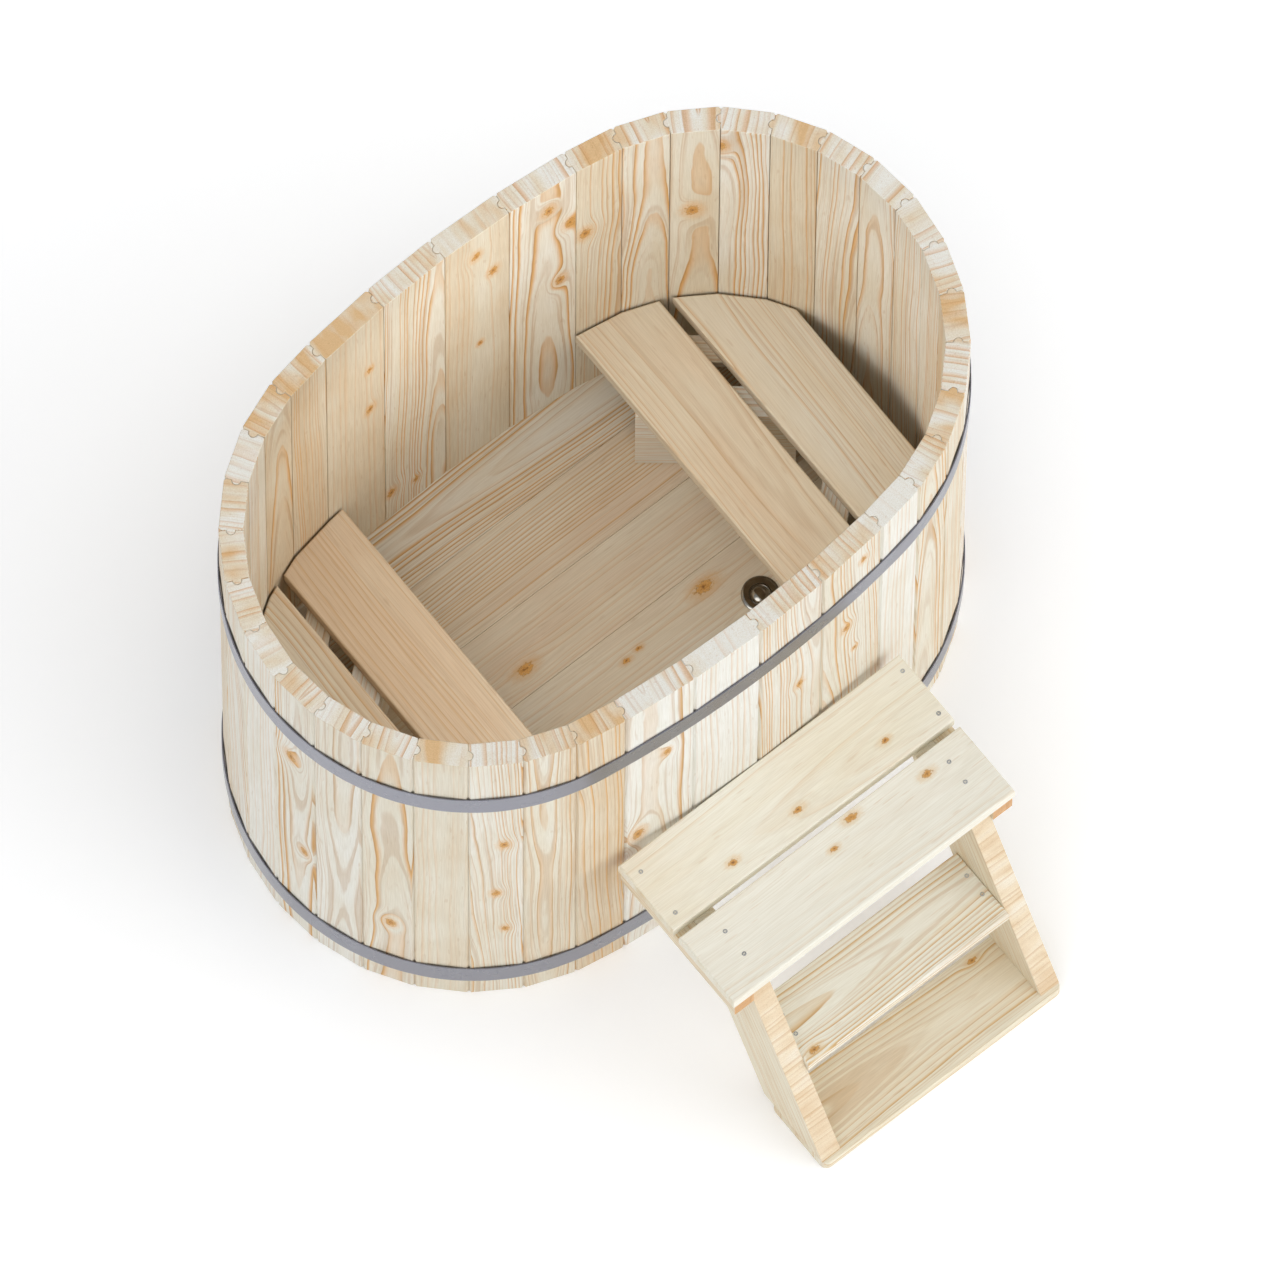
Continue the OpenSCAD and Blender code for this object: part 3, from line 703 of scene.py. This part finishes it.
for hoop, top in (("upper", UPPER_TOP), ("lower", LOWER_TOP)):
    middle = top - HOOP_TALL / 2
    piece = Piece(f"{hoop}_band")
    section = rounded(HOOP_THICK, HOOP_TALL, 0.0008, 2)
    rings = []
    for spot, out in band_path():
        aside = [spot + out * (HOOP_THICK / 2 + p.x) for p in section]
        rings.append([Vector((q.x, q.y, middle + p.y)) for q, p in zip(aside, section)])
    joined(piece, rings)
    piece.finish([hoop_steel], "tub", "hoop_steel", [f"{hoop}_hoop"], soften=30)

    piece = Piece(f"{hoop}_closing_lugs")
    for side in (-1, 1):
        low = SPLIT / 2 if side > 0 else -SPLIT / 2 - LUG_THICK
        slab(piece, lug, low, low + LUG_THICK, 0.0007, None, on_edge(face, middle))
        corner = Vector((side * outside, face, middle))
        angles = [side * math.pi * (2 * j + 1) / BEAD_SIDES for j in range(BEAD_SIDES)]
        bead = []
        for i in range(BEAD_STEPS + 1):
            r = BEAD_SIZE * (1 + 0.16 * math.sin(i * 1.9)) * (0.55 if i in (0, BEAD_STEPS) else 1)
            rise = (tall - BEAD_SHORT) * (i / BEAD_STEPS - 0.5)
            bead.append([corner + Vector((side * r * math.cos(a), r * math.sin(a), rise)) for a in angles])
        joined(piece, bead, kind=1)
    piece.finish([hoop_steel, weld], "tub", "hoop_steel", [f"{hoop}_lugs"])

    piece = Piece(f"{hoop}_closing_bolt")
    axis = on_edge(face + LUG_REACH / 2, middle)
    turned(piece, head, axis, hexagon=flat)
    turned(piece, shank, axis, steps=24)
    turned(piece, nut, axis, hexagon=flat)
    for low in (head_low, outside):
        turned(piece, flat_ring(0.0052, 0.0105, low, low + washer_thick), axis, closed=True, steps=32)
    piece.finish([zinc], "tub", "bolt_steel", [f"{hoop}_bolt"])

# Drain
# A turned and chromed brass waste goes through the floor. A rubber ring seals it above and
# below, a flat nut draws it down, and a domed plug on its own seal sits in its recess.

plating = Finish("chrome_plate")
haze = plating.noise(plating.put("TexCoord").outputs["Object"], scale=60, detail=3)[0]
chrome = plating.use(
    Base_Color=plating.ramp(haze, (0.3, "#7C7873"), (0.7, "#96938C")), Metallic=1.0,
    Roughness=plating.step(haze, 0.3, 0.8, 0.06, 0.14),
)
moulding = Finish("seal_rubber")
grit = moulding.noise(moulding.put("TexCoord").outputs["Object"], scale=900, detail=2)[0]
rubber = moulding.use(
    Base_Color=moulding.ramp(grit, (0.3, "#1E1E1F"), (0.7, "#343436")), Roughness=0.7,
    Normal=moulding.put("Bump", {"Strength": 0.3, "Distance": 0.0002, "Height": grit}).outputs[0],
)
DRAIN = Matrix.Translation((0.287, -0.105, FLOOR_TOP))
SEAL = 0.0015
flange, flange_top, slope = 0.034, SEAL + 0.003, 0.0082
seat = flange_top - 0.005
recess, bore, tail, spigot = 0.020, 0.017, 0.0225, 0.020
ease, rib_low, rib_step, rib_deep = 0.0006, -0.057, 0.0033, 0.0012

piece = Piece("waste_flange_and_tail")
profile = [(bore, seat), (recess - 0.0004, seat), (recess, seat + ease), (recess, flange_top - ease),
           (recess + ease, flange_top), (flange - slope, flange_top)]
for i in range(1, 6):
    profile.append((flange - slope * (1 - i / 6) ** 1.5, flange_top - 0.0018 * (i / 6) ** 2))
profile += [(flange - 0.0004, SEAL + 0.0009), (flange, SEAL + 0.0005), (flange - 0.0002, SEAL), (tail, SEAL)]
profile += [(r, -h) for r, h in threaded(tail, 0.002, 0.054, 0.002)]
profile += [(spigot, -0.0545)]
profile += [(spigot - (rib_deep if i % 2 else 0), rib_low - rib_step * i) for i in range(7)]
profile += [(bore, -0.080)]
turned(piece, profile[::-1], DRAIN, closed=True, steps=72)
piece.finish([chrome], "tub", "drain_chrome", ["drain_body"], soften=28)

under = -FLOOR_THICK - SEAL
piece = Piece("waste_seals")
for low in (0.0, under):
    turned(piece, flat_ring(0.023, 0.03325, low, low + SEAL), DRAIN, closed=True)
piece.finish([rubber], "tub", "rubber", ["drain_seals"])

piece = Piece("waste_nut")
hole, bevelled, widest = 0.0228, 0.0325, 0.0367
profile = [(hole, under - 0.010), (bevelled, under - 0.010), (widest, under - 0.0082),
           (widest, under - 0.0018), (bevelled, under), (hole, under)]
turned(piece, profile, DRAIN, closed=True, hexagon=0.0318, steps=72)
piece.finish([chrome], "tub", "drain_chrome", ["drain_nut"])

piece = Piece("waste_plug")
stem, plug_out, plug_low = 0.008, 0.0194, seat + SEAL
lip, groove, dome_wide, dome_tall = 0.0030, 0.0026, plug_out - 0.0034, 0.0039
profile = [(stem - 0.0012, plug_low - 0.005), (stem, plug_low - 0.0042), (stem, plug_low),
           (plug_out - ease, plug_low), (plug_out, plug_low + ease), (plug_out, plug_low + 0.0022),
           (plug_out - 0.0008, plug_low + lip), (plug_out - 0.0026, plug_low + lip),
           (plug_out - 0.0031, plug_low + groove)]
for degrees in (6, 18, 30, 42, 54, 66, 76, 84, 88.5):
    turn = going(degrees)
    profile.append((dome_wide * turn.x, plug_low + groove + dome_tall * turn.y))
turned(piece, profile, DRAIN, steps=64)
piece.finish([chrome], "plug", "drain_chrome", ["plug"], soften=40)

piece = Piece("plug_ring")
turned(piece, flat_ring(0.0086, plug_out, seat, plug_low), DRAIN, closed=True)
piece.finish([rubber], "plug", "rubber", ["plug_seal"])

# Benches
# Each loose bench is two planed planks with soft edges, cut to the wall and screwed from below
# to two slanting battens. Two boards on edge carry it, drawn together towards the end wall.

SEAT, PLANK, PLANK_WIDE, PLANK_GAP, WALL_GAP = 0.380, 0.036, 0.155, 0.021, 0.004
BATTEN_THICK, BATTEN_WIDE, BATTEN_INSET, BATTEN_FROM_WALL = 0.028, 0.050, 0.037, 0.106
LEG_LONG, LEG_THICK, LEG_AHEAD, LEG_ASIDE = 0.280, 0.058, 0.003, 0.220
SLANT, EASED = -39, 0.0045
BENCH_COLOURS = ("#E4E1D6", "#E1D7C3", "#DDC7AC", "#D4B184", "#B08A60")
seat_face = sawn_spruce("seat_plank", *BENCH_COLOURS)
seat_end = sawn_spruce("seat_end_grain", *BENCH_COLOURS, end=True)


def laid(corner, long, wide, side, hand):
    """Plan of a slanting board laid from a corner, mirrored for the other end and side."""
    along, over = going(SLANT), left_of(going(SLANT))
    flat = [corner, corner + along * long, corner + along * long + over * wide, corner + over * wide]
    flat = [Vector((p.x * side, p.y * hand)) for p in flat]
    return flat if side * hand > 0 else flat[::-1]


PLANKS = {
    "right_bench_front": (0.62, "half", 0.55, (0.02, 0.12)),
    "right_bench_rear": (0.44, "half", 0.55, (-0.05, 0.07)),
    "left_bench_front": (0.92, "pin", 0.5, (-0.11, 0.1)),
    "left_bench_rear": (0.50, "pin", 0.7, (0.12, 0.1)),
}
for bench, side, front in (("right_bench", 1, 0.270), ("left_bench", -1, 0.243)):
    for i, row in enumerate(("front", "rear")):
        node = f"{bench}_{row}"
        tone, look, figure, heart = PLANKS[node]
        near = front + i * (PLANK_WIDE + PLANK_GAP)
        far = near + PLANK_WIDE
        outline = trimmed(tub_outline(THICK + WALL_GAP), ((side * near, 0), (-side, 0)),
                          ((side * far, 0), (side, 0)))
        lean, ring = LOOKS[look][1:3]
        timber = Timber((side * (near + far) / 2, 0, SEAT), (0, 1, 0), (1, 0, 0), heart, lean, ring,
                        tone, figure, (), 60 + i + 2 * side)
        piece = Piece(node + "_plank")
        slab(piece, outline, SEAT - PLANK, SEAT, EASED, timber, steps=4)
        piece.finish([seat_face, seat_end], bench, "seat_wood", [node])
    along = going(SLANT)
    wide = 2 * PLANK_WIDE + PLANK_GAP
    middle = front + wide / 2
    batten_long = (wide - 2 * BATTEN_INSET + BATTEN_WIDE * along.y) / along.x
    wall = [mitre(k, THICK) for k in range(STAVES // 4, STAVES // 2 + 1)]
    here = next(i for i in range(len(wall) - 1) if wall[i].x >= middle > wall[i + 1].x)
    share = (wall[here].x - middle) / (wall[here].x - wall[here + 1].x)
    batten_mid = Vector((middle, wall[here].lerp(wall[here + 1], share).y - BATTEN_FROM_WALL))
    corner = batten_mid - along * batten_long / 2 - left_of(along) * BATTEN_WIDE / 2
    battens, legs = Piece(bench + "_cross_battens"), Piece(bench + "_side_boards")
    for hand in (1, -1):
        way = Vector((along.x * side, along.y * hand, 0))
        over = Vector((-way.y, way.x, 0))
        low = SEAT - PLANK - BATTEN_THICK
        timber = Timber((batten_mid.x * side, batten_mid.y * hand, low), way, over, (0.03, 0.06),
                        (0, 0.01), 0.005, 0.55, 0.7, (), 70 + side + 3 * hand)
        outline = laid(corner, batten_long, BATTEN_WIDE, side, hand)
        slab(battens, outline, low, SEAT - PLANK, SAWN, timber)
        outline = laid(Vector((front - LEG_AHEAD, LEG_ASIDE)), LEG_LONG, LEG_THICK, side, hand)
        centre = sum(outline, Vector((0, 0))) / len(outline)
        timber = Timber((centre.x, centre.y, 0.22), way, (0, 0, 1), (0.05, 0.07), (0, 0.012), 0.006,
                        0.08, 0.5, (), 80 + side + 3 * hand)
        slab(legs, outline, FLOOR_TOP, SEAT - PLANK, 0.003, timber)
    battens.finish([seat_face, seat_end], bench, "seat_wood", [bench + "_battens"])
    legs.finish([stave_face, stave_end], bench, "beam_wood", [bench + "_legs"])

# Steps
# The stool leans on the tub's long side. Two slanting side boards stand on a board on the
# ground and carry a tread between them and two platform boards above, on cleats. Everything
# is screwed together with zinc-plated screws, whose heads show in the platform and the tread.

STEP_COLOURS = ("#F6F4E9", "#F2ECD9", "#EADABD", "#E0BF8C", "#C69A62")
step_face = sawn_spruce("step_board", *STEP_COLOURS)
step_end = sawn_spruce("step_end_grain", *STEP_COLOURS, end=True)
CLEAT_END_COLOURS = ("#ECCBA2", "#E6BE92", "#DDAE7E", "#CF9A66", "#AF7C4C")
cleat_end = sawn_spruce("cleat_end_grain", *CLEAT_END_COLOURS, end=True)
SIDE_EDGE_COLOURS = ("#F6EEDF", "#F2E3CA", "#E8D1B2", "#DAB488", "#B29068")
side_edge = sawn_spruce("side_board_edge", *SIDE_EDGE_COLOURS, end=True, crossed=True)
PLATFORM, STEP_THICK, STEP_LONG, BOARD_WIDE, BOARD_GAP = 0.530, 0.032, 0.620, 0.152, 0.015
CLEAT_THICK, CLEAT_TALL, SIDE_THICK, SIDE_WIDE = 0.042, 0.045, 0.042, 0.145
BASE_THICK, BASE_WIDE, TREAD, TREAD_WIDE = 0.028, 0.151, 0.262, 0.145
TREAD_CLEAT_THICK, TREAD_CLEAT_TALL, TREAD_CLEAT_INSET = 0.034, 0.030, 0.018
TUB_GAP, CLEAT_GAP, CLEAT_INSET, SIDE_INSET = 0.0005, 0.004, 0.002, 0.024
TREAD_AHEAD, BASE_AHEAD = 0.015, 0.010
SPAN = STEP_LONG - 2 * (CLEAT_THICK + CLEAT_GAP)
UNDER = PLATFORM - STEP_THICK
LEAN = math.radians(24.5)
rear = -HALF_WIDTH - TUB_GAP
front = rear - 2 * BOARD_WIDE - BOARD_GAP


def side_front(z):
    """Where the slanting side boards' front edge is at a height."""
    return front + SIDE_INSET - (UNDER - z) * math.tan(LEAN)


def box_plan(low_x, high_x, low_y, high_y):
    """A rectangle, anticlockwise."""
    corners = (low_x, low_y), (high_x, low_y), (high_x, high_y), (low_x, high_y)
    return [Vector(corner) for corner in corners]


def step_part(name, node, outlines, low, high, soft, way, look, slot="step_wood", faces=None,
              place=None, ends=None):
    """One or two boards of the steps with the same finish, as one piece.

    A way is the boards' own direction and the one across them. A look is their tone, how strong
    and how wide the years are, where the heart lies and how it leans, the knots, and the seed.
    """
    piece = Piece(name)
    place = place or Matrix.Identity(4)
    along, across = way
    tone, figure, ring, heart, lean, knots, seed = look
    for i, outline in enumerate(outlines):
        shown = [place @ Vector((p.x, p.y, high)) for p in outline]
        middle = sum(shown, Vector((0, 0, 0))) / len(shown)
        timber = Timber(middle, along, across, heart, lean, ring, tone, figure,
                        in_metres(knots, BOARD_CORE_SHARE), seed + i, ends)
        slab(piece, outline, low, high, soft, timber, place, steps=4)
    piece.finish(faces or [step_face, step_end], "steps", slot, [node])


LENGTHWISE, CROSSWISE = ((1, 0, 0), (0, 1, 0)), ((0, 1, 0), (1, 0, 0))
edge = STEP_LONG / 2
knots = [(-37, -4, 7), (-42, -151, 7), (-32, 192, 6)]
step_part("rear_platform_board", "platform_rear", [box_plan(-edge, edge, rear - BOARD_WIDE, rear)],
          UNDER, PLATFORM, EASED, LENGTHWISE, (0.34, 0.20, 0.007, (-0.03, -0.09), (0, 0.01), knots, 90))
knots = [(62, 58, 9), (36, 0, 6), (43, 210, 8)]
step_part("front_platform_board", "platform_front", [box_plan(-edge, edge, front, front + BOARD_WIDE)],
          UNDER, PLATFORM, EASED, LENGTHWISE, (0.00, 0.16, 0.008, (0.02, -0.1), (0, 0.008), knots, 91))

inner, outer = SPAN / 2, SPAN / 2 + CLEAT_THICK
low_y, high_y = front + CLEAT_INSET, rear - CLEAT_INSET
step_part("platform_end_cleats", "platform_cleats",
          [box_plan(-outer, -inner, low_y, high_y), box_plan(inner, outer, low_y, high_y)],
          UNDER - CLEAT_TALL, UNDER, SAWN, CROSSWISE, (0.85, 0.6, 0.005, (0.03, 0.04), (0, 0), [], 92),
          faces=[step_face, cleat_end])

wide = SIDE_WIDE / math.cos(LEAN)
foot, head = side_front(BASE_THICK), side_front(UNDER)
leaning = [Vector((foot, BASE_THICK)), Vector((foot + wide, BASE_THICK)), Vector((head + wide, UNDER)),
           Vector((head, UNDER))]
upward, backward = (0, math.sin(LEAN), math.cos(LEAN)), (0, math.cos(LEAN), -math.sin(LEAN))
for i, (name, low) in enumerate((("left", -SPAN / 2), ("right", SPAN / 2 - SIDE_THICK))):
    step_part(f"{name}_side_board", f"stringer_{name}", [leaning], low, low + SIDE_THICK, SAWN,
              (upward, backward), (0.62, 0.7, 0.0055, (-0.06, 0.05), (0.01, 0), [], 0.4 + i), "beam_wood",
              [step_face, side_edge], on_edge(0, 0), backward)

edge = SPAN / 2 - SIDE_THICK
low_y = side_front(TREAD) - TREAD_AHEAD
high_y = low_y + TREAD_WIDE
underside = TREAD - STEP_THICK
knots = [(-56, -196, 8)]
step_part("tread_board", "tread", [box_plan(-edge, edge, low_y, high_y)], underside, TREAD, EASED,
          LENGTHWISE, (0.08, 1.0, 0.0065, (0.012, -0.06), (0, -0.03), knots, 96))
low_y, high_y = low_y + TREAD_CLEAT_INSET, high_y - TREAD_CLEAT_INSET
inner = edge - TREAD_CLEAT_THICK
step_part("tread_end_cleats", "tread_cleats",
          [box_plan(-edge, -inner, low_y, high_y), box_plan(inner, edge, low_y, high_y)],
          underside - TREAD_CLEAT_TALL, underside, SAWN, CROSSWISE,
          (0.6, 0.6, 0.005, (0.03, 0.04), (0, 0), [], 97))

base_mid = Vector((0, side_front(BASE_THICK) - BASE_AHEAD + BASE_WIDE / 2))
knots = [(60, 170, 7)]
step_part("ground_board", "steps_base", [[p + base_mid for p in rounded(SPAN, BASE_WIDE, 0.014, 5)]],
          0, BASE_THICK, SAWN, LENGTHWISE, (0.62, 1.0, 0.007, (0.0, -0.07), (0, -0.024), knots, 98))

PLATFORM_SCREWS = [(0.295, -0.483), (0.295, -0.582), (-0.286, -0.488), (-0.286, -0.583),
                   (0.254, -0.662), (0.253, -0.708), (-0.240, -0.663), (-0.240, -0.715)]
TREAD_SCREWS = [(0.208, -0.773), (0.208, -0.816), (-0.203, -0.814), (-0.200, -0.773)]
screws = [(x, y, PLATFORM) for x, y in PLATFORM_SCREWS] + [(x, y, TREAD) for x, y in TREAD_SCREWS]
HEAD_TOP, HEAD_STEPS = 0.0005, 40
CROSS_WIDE, CROSS_LONG, CROSS_DEEP = 0.0006, 0.0026, 0.0011
profile = [(0.0026, -0.006), (0.0040, -0.0005), (0.0041, 0.0001), (0.0039, 0.0004)]
profile += [(r, HEAD_TOP) for r in (0.0034, 0.0028, 0.0024, 0.0019, 0.0014, 0.0009, 0.0004)]
piece = Piece("step_screws")
for i, (x, y, z) in enumerate(screws):
    turn = Matrix.Rotation(math.radians(random.Random(i).uniform(0, 90)), 2)
    rings = []
    for r, h in profile:
        ring = []
        for j in range(HEAD_STEPS):
            p = going(360 * j / HEAD_STEPS) * r
            near, far = sorted((abs(p.x), abs(p.y)))
            cross = h == HEAD_TOP and near < CROSS_WIDE and far < CROSS_LONG
            p = turn @ p
            ring.append(Vector((x + p.x, y + p.y, z + h - (CROSS_DEEP if cross else 0))))
        rings.append(ring)
    joined(piece, rings)
piece.finish([zinc], "steps", "bolt_steel", [], soften=25)

# Studio
# A pale floor under a soft sky that is strongest at the front right and above the left, and one
# soft lamp over the tub. The floor glows a little to stay white, and glows less where the tub and
# steps hide the sky: a painted contact shadow.

FAR = 30
ground = bpy.data.meshes.new("studio_floor")
ground.from_pydata([(-FAR, -FAR, 0), (FAR, -FAR, 0), (FAR, FAR, 0), (-FAR, FAR, 0)], [], [(0, 1, 2, 3)])
studio_floor = bpy.data.objects.new("studio_floor", ground)
bpy.context.scene.collection.objects.link(studio_floor)
paint = Finish("studio_paint")
# Painted contact shadow: the floor's glow falls from 0.29 to 0.08 where things within half a metre hide the
# sky.
open_sky_for_painted_shadow = paint.put("AmbientOcclusion", {"Distance": 0.5}, samples=8).outputs["AO"]
ground.materials.append(paint.use(
    Base_Color=(0.94, 0.953, 0.972, 1), Roughness=0.9, Specular_IOR_Level=0.0,
    Emission_Color=(1, 1, 1, 1), Emission_Strength=paint.step(open_sky_for_painted_shadow, 0.3, 1.0, 0.08, 0.29, "LINEAR"),
))

# Each light of the sky: its direction, its strength and how narrow it is.
SKY_LIGHTS = (((0.6, -0.7, 0.4), 2.4, 6), ((-0.55, -0.3, 0.78), 1.56, 6), ((-0.2, 0.8, 0.55), 0.35, 4))
sky = Finish("soft_sky", bpy.data.worlds.new("soft_sky"))
bpy.context.scene.world = sky.material
direction = sky.put("TexCoord").outputs["Generated"]
glow = 0.23
for towards, strength, narrow in SKY_LIGHTS:
    facing = sky.vector("DOT_PRODUCT", direction, Vector(towards).normalized())
    lobe = sky.number("POWER", sky.number("MAXIMUM", facing, 0.0), narrow)
    glow = sky.plus(sky.times(lobe, strength), glow)
sky.use(Color=(1, 1, 1, 1), Strength=glow)

lamp = bpy.data.objects.new("lamp_over_tub", bpy.data.lights.new("lamp_over_tub", "AREA"))
lamp.data.shape, lamp.data.size, lamp.data.size_y = "ELLIPSE", 1.0, 0.5
lamp.data.energy = 2.5
lamp.location = (-0.15, -0.15, 1.0)
lamp.rotation_euler = Vector((0.6, 0.45, -0.66)).to_track_quat("-Z", "X").to_euler()
lamp.visible_camera = False
bpy.context.scene.collection.objects.link(lamp)

bpy.context.scene.view_settings.view_transform = "Standard"

# Camera
# It stands far off to the front left and looks steeply down, so the staves stay almost parallel.
# Its place comes from the pixel of the photo in which the shared frame's origin lies.

PHOTO_WIDE, SENSOR = 1280, 36
ORIGIN_PIXEL_X, ORIGIN_PIXEL_Y = 593.4594, 665.98343
camera = bpy.data.objects.new("camera", bpy.data.cameras.new("camera"))
bpy.context.scene.collection.objects.link(camera)
bpy.context.scene.camera = camera
azimuth, elevation, roll = math.radians(-39.1137), math.radians(70.68088), math.radians(0.57718)
distance, pixels_per_metre = 61.85, 574.98
level = math.cos(elevation)
back = Vector((math.sin(azimuth) * level, -math.cos(azimuth) * level, math.sin(elevation)))
right = Vector((math.cos(azimuth), math.sin(azimuth), 0))
up = back.cross(right)
right, up = right * math.cos(roll) + up * math.sin(roll), up * math.cos(roll) - right * math.sin(roll)
aside = (PHOTO_WIDE / 2 - ORIGIN_PIXEL_X) / pixels_per_metre
above = (ORIGIN_PIXEL_Y - PHOTO_WIDE / 2) / pixels_per_metre
camera.matrix_world = Matrix((right, up, back)).transposed().to_4x4()
camera.location = back * distance + right * aside + up * above
camera.data.sensor_width = SENSOR
camera.data.lens = SENSOR * pixels_per_metre * distance / PHOTO_WIDE
camera.data.clip_start, camera.data.clip_end = 1, 200

bpy.context.view_layer.update()
